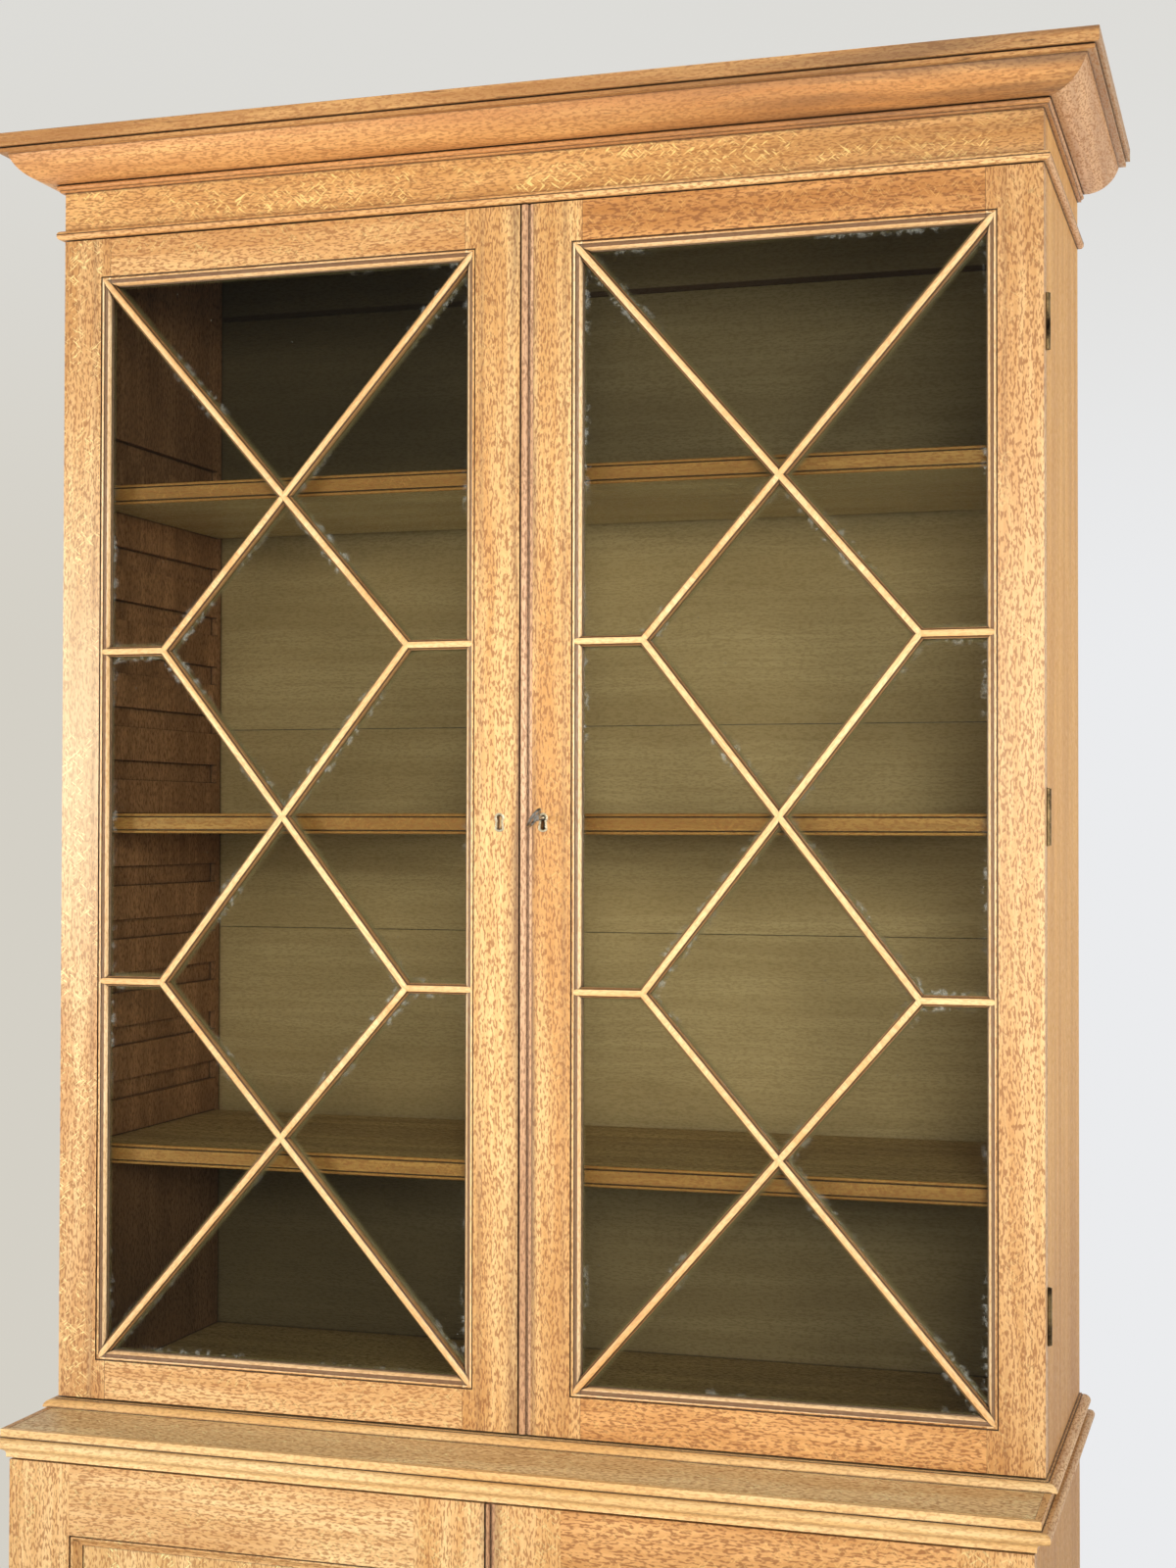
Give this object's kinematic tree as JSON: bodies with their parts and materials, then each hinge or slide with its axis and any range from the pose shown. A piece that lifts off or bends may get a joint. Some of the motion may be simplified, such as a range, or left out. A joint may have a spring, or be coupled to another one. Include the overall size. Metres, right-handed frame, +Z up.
{
  "type": "display cabinet",
  "caption": "Stepped wooden cabinet: a shallower glazed upper case with lattice doors and grooved sides for loose shelves, on a deeper base with panelled doors, under a moulded cornice.",
  "frame": {"origin": "middle of the underside, on the floor", "axes": "+Z up, +X to the viewer's right, +Y to the back, doors on the -Y side"},
  "size_m": [1.352, 0.543, 2.428],
  "materials": {
    "oak": "waxed",
    "oak_shaded": "waxed",
    "back_oak": "matt",
    "moulding_oak": "waxed",
    "worn_bead": "worn",
    "glass": "clear",
    "brass": "aged",
    "iron": "dark"
  },
  "bodies": {
    "cabinet": {"plinth_boards": "oak", "base_floor_board": "oak", "base_side_left": "oak", "base_side_right": "oak", "base_top_board": "oak", "base_front_rail": "oak", "base_back_boards": "back_oak", "base_shelf": "oak_shaded", "base_shelf_cleats": "oak_shaded", "waist_moulding": "moulding_oak", "foot_moulding": "moulding_oak", "upper_side_left": "oak", "upper_side_right": "oak", "upper_floor_board": "oak", "upper_ceiling_board": "oak_shaded", "upper_back_boards": "back_oak", "upper_shelf_top": "oak", "upper_shelf_middle": "oak", "upper_shelf_bottom": "oak", "cornice_base_board": "oak", "cornice_frieze": "oak", "cornice_neck": "moulding_oak", "cornice_ovolo": "moulding_oak", "cornice_fascia": "oak", "cornice_dust_board": "oak_shaded", "frame_hinges": "brass", "hinge_pins": "brass"},
    "upper_left_door": {"upper_left_stiles": "oak", "upper_left_rails": "oak", "upper_left_glazing_bars": "oak", "upper_left_glass": "glass", "upper_left_hinges": "brass", "upper_left_escutcheon": "brass", "upper_left_bolt_plates": "brass"},
    "upper_right_door": {"upper_right_stiles": "oak", "upper_right_rails": "oak", "upper_right_glazing_bars": "oak", "upper_right_glass": "glass", "upper_right_hinges": "brass", "upper_right_meeting_bead": "worn_bead", "upper_right_escutcheon": "brass", "upper_lock_case": "iron"},
    "lower_left_door": {"lower_left_stiles": "oak", "lower_left_rails": "oak", "lower_left_panel": "oak", "lower_left_hinges": "brass", "lower_left_bolt_plate": "brass"},
    "lower_right_door": {"lower_right_stiles": "oak", "lower_right_rails": "oak", "lower_right_panel": "oak", "lower_right_hinges": "brass", "lower_right_meeting_bead": "worn_bead", "lower_right_escutcheon": "brass", "lower_lock_case": "iron"},
    "upper_left_top_bolt": {"upper_left_top_bolt": "brass"},
    "upper_left_bottom_bolt": {"upper_left_bottom_bolt": "brass"},
    "lower_left_bolt": {"lower_left_bolt": "brass"},
    "upper_lock_bolt": {"upper_lock_bolt": "iron"},
    "lower_lock_bolt": {"lower_lock_bolt": "iron"},
    "key": {"cabinet_key": "iron"}
  },
  "joints": [
    {"name": "upper_left_door_hinge", "type": "hinge", "parent": "cabinet", "child": "upper_left_door", "pos_m": [-0.6115, -0.11325, 1.578], "axis": [0, 0, 1], "range_deg": [-180, 0]},
    {"name": "upper_right_door_hinge", "type": "hinge", "parent": "cabinet", "child": "upper_right_door", "pos_m": [0.6115, -0.11325, 1.578], "axis": [0, 0, 1], "range_deg": [0, 180]},
    {"name": "lower_left_door_hinge", "type": "hinge", "parent": "cabinet", "child": "lower_left_door", "pos_m": [-0.6115, -0.22725, 0.462], "axis": [0, 0, 1], "range_deg": [-180, 0]},
    {"name": "lower_right_door_hinge", "type": "hinge", "parent": "cabinet", "child": "lower_right_door", "pos_m": [0.6115, -0.22725, 0.462], "axis": [0, 0, 1], "range_deg": [0, 180]},
    {"name": "upper_left_top_bolt_slide", "type": "slide", "parent": "upper_left_door", "child": "upper_left_top_bolt", "axis": [0, 0, 1], "range_m": [0, 0.01]},
    {"name": "upper_left_bottom_bolt_slide", "type": "slide", "parent": "upper_left_door", "child": "upper_left_bottom_bolt", "axis": [0, 0, -1], "range_m": [0, 0.01]},
    {"name": "lower_left_bolt_slide", "type": "slide", "parent": "lower_left_door", "child": "lower_left_bolt", "axis": [0, 0, -1], "range_m": [0, 0.01]},
    {"name": "key_turn", "type": "hinge", "parent": "upper_right_door", "child": "key", "pos_m": [0.0273, -0.12, 1.576], "axis": [0, -1, 0], "range_deg": [0, 68]},
    {"name": "upper_lock_bolt_slide", "type": "slide", "parent": "upper_right_door", "child": "upper_lock_bolt", "axis": [-1, 0, 0], "range_m": [0, 0.009]},
    {"name": "lower_lock_bolt_slide", "type": "slide", "parent": "lower_right_door", "child": "lower_lock_bolt", "axis": [-1, 0, 0], "range_m": [0, 0.009]}
  ],
  "couplings": [
    {"joint": "key_turn", "follows": "upper_lock_bolt_slide", "rad_per_m": 131.87}
  ]
}
